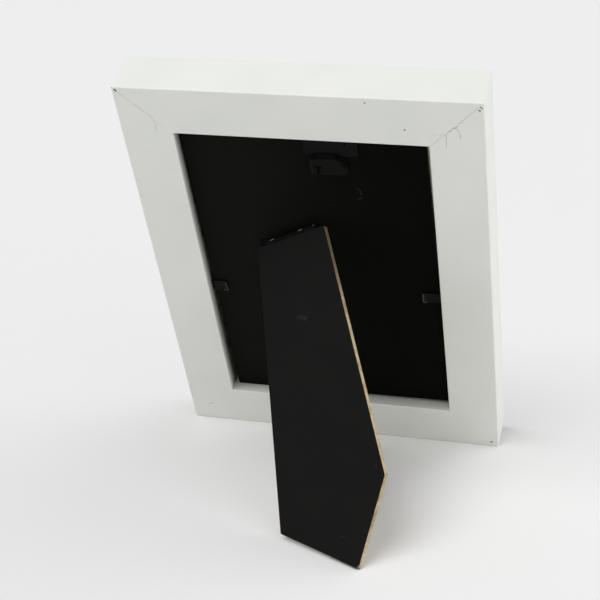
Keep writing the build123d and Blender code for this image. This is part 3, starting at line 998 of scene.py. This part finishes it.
def hanger(material):
    """The hanger from one sheet. Its height over the board follows from how far a point lies
    inside the pocket's outline, a box with two round corners, by a smooth step over the slope.
    Below the strip the columns close in to that outline, and the strip's own corners are round.
    """
    straight = POCKET_HALF - POCKET_ROUND
    low_over = STRIP_LOW - POCKET_HEIGHT + POCKET_ROUND
    low_width = straight + np.sqrt(POCKET_ROUND ** 2 - low_over ** 2)
    notch_sides = [
        (NOTCH_MIDDLE + side * width / 2) / POCKET_HALF
        for width in (NOTCH_BAR, NOTCH_WIDTH)
        for side in (-1, 1)
    ]
    share = breaks(-1.0, *notch_sides, 1.0, step=SHARE_STEP)
    left = breaks(STRIP_LEFT, -low_width, step=HANGER_STEP)[:-1]
    slit_sides = (SLIT_MIDDLE - SLIT_WIDTH / 2, SLIT_MIDDLE + SLIT_WIDTH / 2)
    right = breaks(low_width, *slit_sides, STRIP_RIGHT, step=HANGER_STEP)[1:]
    low_rows = breaks(
        0,
        NOTCH_HEIGHT - NOTCH_BAR_WIDTH / 2,
        NOTCH_HEIGHT,
        NOTCH_HEIGHT + NOTCH_BAR_WIDTH / 2,
        STRIP_LOW,
        step=HANGER_STEP,
    )
    high_rows = breaks(STRIP_LOW, SLIT_LOW, STRIP_HIGH, step=HANGER_STEP)[1:]
    rows = np.concatenate([low_rows, high_rows])
    over = np.clip(rows - POCKET_HEIGHT + POCKET_ROUND, 0, POCKET_ROUND * 0.999)
    half = straight + np.sqrt(POCKET_ROUND ** 2 - over ** 2)
    half = np.where(rows > STRIP_LOW, low_width, half)
    x = np.concatenate([
        np.tile(left, (len(rows), 1)),
        share[None] * half[:, None],
        np.tile(right, (len(rows), 1)),
    ], 1)
    y = np.tile(rows[:, None], (1, x.shape[1]))
    strip_middle = (STRIP_LEFT + STRIP_RIGHT) / 2
    from_end = (STRIP_RIGHT - STRIP_LEFT) / 2 - np.abs(x - strip_middle)
    corner = np.clip(STRIP_ROUND - from_end, 0, STRIP_ROUND)
    lift = STRIP_ROUND - np.sqrt(STRIP_ROUND ** 2 - corner ** 2)
    fade = np.clip((STRIP_HIGH - y) / (STRIP_HIGH - STRIP_LOW), 0, 1)
    y = y + lift * fade
    beyond_x = np.maximum(np.abs(x) - straight, 0)
    beyond_y = np.maximum(y - POCKET_HEIGHT + POCKET_ROUND, 0)
    depth_inside = POCKET_ROUND - np.hypot(beyond_x, beyond_y)
    step = np.clip(depth_inside / POCKET_SLOPE, 0, 1)
    z = HANGER_SHEET / 2 + POCKET_RISE * step * step * (3 - 2 * step)
    mid_x = (x[:-1, :-1] + x[:-1, 1:]) / 2
    mid_y = (rows[:-1] + rows[1:])[:, None] / 2
    columns = np.arange(x.shape[1] - 1)
    in_pocket = (columns >= len(left)) & (columns < len(left) + len(share) - 1)
    kept = in_pocket[None] | (mid_y > STRIP_LOW)
    notch = (np.abs(mid_x - NOTCH_MIDDLE) < NOTCH_WIDTH / 2) & (mid_y < NOTCH_HEIGHT)
    in_bar = np.abs(mid_y - NOTCH_HEIGHT) < NOTCH_BAR_WIDTH / 2
    bar = (np.abs(mid_x - NOTCH_MIDDLE) < NOTCH_BAR / 2 + SLACK) & in_bar
    slit = (np.abs(mid_x - SLIT_MIDDLE) < SLIT_WIDTH / 2) & (mid_y > SLIT_LOW)
    kept = kept & ~notch & ~bar & ~slit
    middle = np.stack([x, y, z], 2)
    return thick_sheet("pressed_hanger", HANGER, middle, HANGER_SHEET, kept, material, True)


# The flexible tabs, each one bent sheet out of the side wall

LEFT_TAB_UP = 88.0
LEFT_TAB_REACH = 7.5
RIGHT_TAB_UP = 90.3
RIGHT_TAB_REACH = 8.6
TAB_WIDTH = 5.3
TAB_SHEET = 0.4
TAB_GAP = 0.4
TAB_LIFT = np.radians(25)
TAB_LIP = 1.7
TAB_ROUND = 0.9
TAB_ROOT = 1.2
TAB_IN_WALL = 3.0
TAB_BEND = 0.9
TAB_ROW_STEP = 0.12
TAB_COLUMN_STEP = 0.25


def tab(side, up, reach, material):
    """A tab at a height up the back: flat out of the wall, then its lip bent up on a short arc,
    with a round end."""
    body = {-1: "left_tab", 1: "right_tab"}[side]
    level = TAB_GAP + TAB_SHEET / 2 - BOARD_RECESS
    wall = in_room(BACK, (side * (OUTER_WIDTH / 2 - RAIL_WIDTH), up, level))
    place = (wall, np.array([-side * ACROSS, -side * UP, OUT]))
    flat = reach - TAB_LIP * np.cos(TAB_LIFT)
    bend = (flat - TAB_BEND / 2, flat + TAB_BEND / 2)
    tip = flat + TAB_LIP
    along = breaks(-TAB_IN_WALL, 0, TAB_ROOT, *bend, tip - TAB_ROUND, tip, step=TAB_ROW_STEP)
    across = breaks(-TAB_WIDTH / 2, TAB_WIDTH / 2, step=TAB_COLUMN_STEP)
    turned = np.clip((along - bend[0]) / TAB_BEND, 0, 1) * TAB_LIFT
    steps = np.diff(along, prepend=along[0])
    x = along[0] + np.cumsum(steps * np.cos(turned))
    z = np.cumsum(steps * np.sin(turned))
    from_end = np.clip(along - along[-1] + TAB_ROUND, 0, TAB_ROUND)
    narrow = TAB_ROUND - np.sqrt(TAB_ROUND ** 2 - from_end ** 2)
    share = 1 - narrow / (TAB_WIDTH / 2)
    middle = np.stack([
        np.tile(x[:, None], (1, len(across))),
        across[None] * share[:, None],
        np.tile(z[:, None], (1, len(across))),
    ], 2)
    kept = np.ones((len(along) - 1, len(across) - 1), bool)
    sheet = thick_sheet("bent_" + body, place, middle, TAB_SHEET, kept, material, False)
    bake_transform(sheet)
    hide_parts(body + "_blade", body + "_shank")


# Marks on the paper and the hardboard, in millimetres on the board and on the leg

# Painted light over the board's left side, which the light reaches past the leg
BOARD_PAINTED_LIGHT = [((-46.0, -40.0), (-34.0, 60.0), 62.0)]
BOARD_DUST = [
    ((20.7, 49.8), (21.9, 49.0), 0.5),
    ((21.9, 49.0), (22.2, 46.6), 0.5),
    ((22.0, 44.9), (20.4, 44.3), 0.5),
    ((9.4, 40.3), (9.6, 40.2), 0.5),
]
LEG_DUST = [
    ((0.6, -36.0), (3.6, -37.4), 1.6),
    ((25.6, -103.2), (25.8, -103.7), 0.6),
    ((4.6, -127.8), (5.8, -128.0), 0.4),
]
LEG_WEAR = [((9.5, -141.2), (10.0, -140.8))]
# The leg's hardboard darker towards the top of its right edge near the hinge, and painted contact shade along its
# foot on the floor
LEG_DARKENING = [
    ((19.6, -1.0), (20.6, -10.0), 2.0, 34.0, "#5C5138"),
    ((9.2, -141.8), (-25.3, -122.0), 0.4, 0.9, "#24211C"),
]

# Marks on the steel, in millimetres: painted glints on the hinge's knuckles and on the tabs'
# lips, and painted shade on the hinge's heels and in the hanger's creases

# Painted glints where the knuckles and the tabs' lips catch the light
KNUCKLE_GLINTS = [((-9.6, 0.8), (-8.0, 0.9)), ((5.2, 0.8), (6.8, 0.9)), ((12.8, 0.8), (13.0, 0.8))]
TAB_LIP_GLINTS = [
    ((-45.2, 90.2), (-44.6, 85.8)),
    ((-46.6, 85.5), (-44.8, 85.5)),
    ((43.7, 92.6), (43.5, 88.4)),
    ((43.7, 88.0), (45.0, 87.9)),
]
# Painted shade: near-black on the hinge's heels and on the upper wall of the hanger's pocket
SHADED_HEELS = [((-14.2, -0.6), (-14.2, 2.4)), ((14.2, -0.6), (14.2, 2.4))]
POCKET_CREASE_SHADE = [
    ((-6.6, 8.0), (-3.0, 8.9)),
    ((-3.0, 8.9), (4.0, 8.9)),
    ((4.0, 8.9), (6.4, 7.6)),
    ((6.4, 7.6), (7.5, 4.4)),
]
TAB_GLINT_SHARE = 0.14

# The pieces

rails()
boards()
dress(["corner_nails"], bare_nail_steel())
picture()

dark = ("#0E0E0D", "#141413")
tab_dark = ("#121211", "#1A1A19")
hinge_steel = black_lacquered_steel("black_hinge_steel", LEG, dark, KNUCKLE_GLINTS, 1.0, SHADED_HEELS)
hanger_steel = black_lacquered_steel("black_hanger_steel", HANGER, dark, [], 0.0, POCKET_CREASE_SHADE)
tab_steel = black_lacquered_steel("black_tab_steel", BACK, tab_dark, TAB_LIP_GLINTS, TAB_GLINT_SHARE, [])

leg_leaf_width = BARREL + 2 * (KNUCKLE_GAP + HEEL_WIDTH)
board_leaf_width = BARREL - KNUCKLE_GAP
outer_knuckles = range(0, KNUCKLES, 2)
inner_knuckles = range(1, KNUCKLES, 2)
stand_in(
    leaf("rolled_leg_leaf", LEG, leg_leaf_width, outer_knuckles, True, hinge_steel),
    "leg", "black_steel", "hinge_leg_leaf",
)
stand_in(
    leaf("rolled_board_leaf", BOARD_LEAF, board_leaf_width, inner_knuckles, False, hinge_steel),
    "frame", "black_steel", "hinge_board_leaf",
)
stand_in(pin(hinge_steel), "frame", "black_steel", "hinge_pin")
stand_in(hanger(hanger_steel), "frame", "black_steel", "hanger")
tab(-1, LEFT_TAB_UP, LEFT_TAB_REACH, tab_steel)
tab(1, RIGHT_TAB_UP, RIGHT_TAB_REACH, tab_steel)

# Floor

FLOOR_REACH = 6.0


def pale_floor():
    """A wide pale sheet at floor level."""
    corners = [(-1, -1, 0), (1, -1, 0), (1, 1, 0), (-1, 1, 0)]
    mesh = bpy.data.meshes.new("pale_floor")
    mesh.from_pydata([tuple(FLOOR_REACH * v for v in c) for c in corners], [], [(0, 1, 2, 3)])
    floor = bpy.data.objects.new("pale_floor", mesh)
    bpy.context.scene.collection.objects.link(floor)
    material, tree, shader = new_material("pale_floor_sheet")
    set_sockets(shader, Base_Color=linear("#F1F1F1"), Roughness=0.9, Specular_IOR_Level=0.1)
    mesh.materials.append(material)


pale_floor()

# Light: a pale room that is open on the picture's right, a ceiling and one broad soft lamp
# above, left of the camera

WINDOW_WAY = (-1.0, 0.0, 0.0)
WINDOW_STRENGTH = 1.45
CEILING_STRENGTH = 0.38
BACKDROP = 0.84
LAMP_WAY = Vector((0.35, 0.57, 1.0)).normalized()
LAMP_STRENGTH = 1.57
LAMP_SPREAD = np.radians(40.0)


def facing(tree, direction, way, strength):
    """Light that falls off with the cosine from one way."""
    weighed = [strength * part for part in way]
    cosine = vector_math(tree, "DOT_PRODUCT", direction, weighed).outputs["Value"]
    return number_math(tree, "MAXIMUM", cosine, 0.0)


def lights():
    """The room's light by direction and the soft lamp. The camera and mirrored rays see an
    even pale backdrop instead, as pale as the floor."""
    world = bpy.data.worlds.new("pale_room")
    bpy.context.scene.world = world
    world.use_nodes = True
    tree = world.node_tree
    sky = tree.nodes["Background"]
    sky.inputs["Color"].default_value = linear("#FFFFFF")
    direction = add(tree, "ShaderNodeTexCoord").outputs["Generated"]
    window = facing(tree, direction, WINDOW_WAY, WINDOW_STRENGTH)
    ceiling = facing(tree, direction, (0, 0, 1), CEILING_STRENGTH)
    room = number_math(tree, "ADD", window, ceiling)
    path = add(tree, "ShaderNodeLightPath").outputs
    direct = number_math(tree, "ADD", path["Is Camera Ray"], path["Is Glossy Ray"])
    seen = number_math(tree, "ADD", direct, path["Is Transmission Ray"], use_clamp=True)
    strength = add(tree, "ShaderNodeMix", links={0: seen, 2: room})
    strength.inputs[3].default_value = BACKDROP
    tree.links.new(strength.outputs[0], sky.inputs["Strength"])
    lamp = bpy.data.lights.new("soft_lamp", "SUN")
    lamp.energy = LAMP_STRENGTH
    lamp.angle = LAMP_SPREAD
    holder = bpy.data.objects.new("soft_lamp", lamp)
    bpy.context.scene.collection.objects.link(holder)
    holder.rotation_euler = LAMP_WAY.to_track_quat("Z", "Y").to_euler()


lights()

# Camera: behind the frame, a little to the right, looking down

CAMERA_PLACE = Vector((-0.14719, 0.55656, 0.30156))
CAMERA_AIM = Vector((0.00508, 0.00445, 0.08666))
CAMERA_ROLL = np.radians(-0.9)
CAMERA_LENS = 87.0


def camera():
    """The camera, level but for a small roll about its own line of sight."""
    data = bpy.data.cameras.new("camera")
    data.sensor_width = 36.0
    data.lens = CAMERA_LENS
    data.clip_start = 0.01
    holder = bpy.data.objects.new("camera", data)
    bpy.context.scene.collection.objects.link(holder)
    sight = (CAMERA_PLACE - CAMERA_AIM).to_track_quat("Z", "Y").to_matrix()
    holder.matrix_world = Matrix.Translation(CAMERA_PLACE) @ (
        sight @ Matrix.Rotation(CAMERA_ROLL, 3, "Z")
    ).to_4x4()
    bpy.context.scene.camera = holder


camera()
bpy.context.scene.view_settings.view_transform = "Standard"
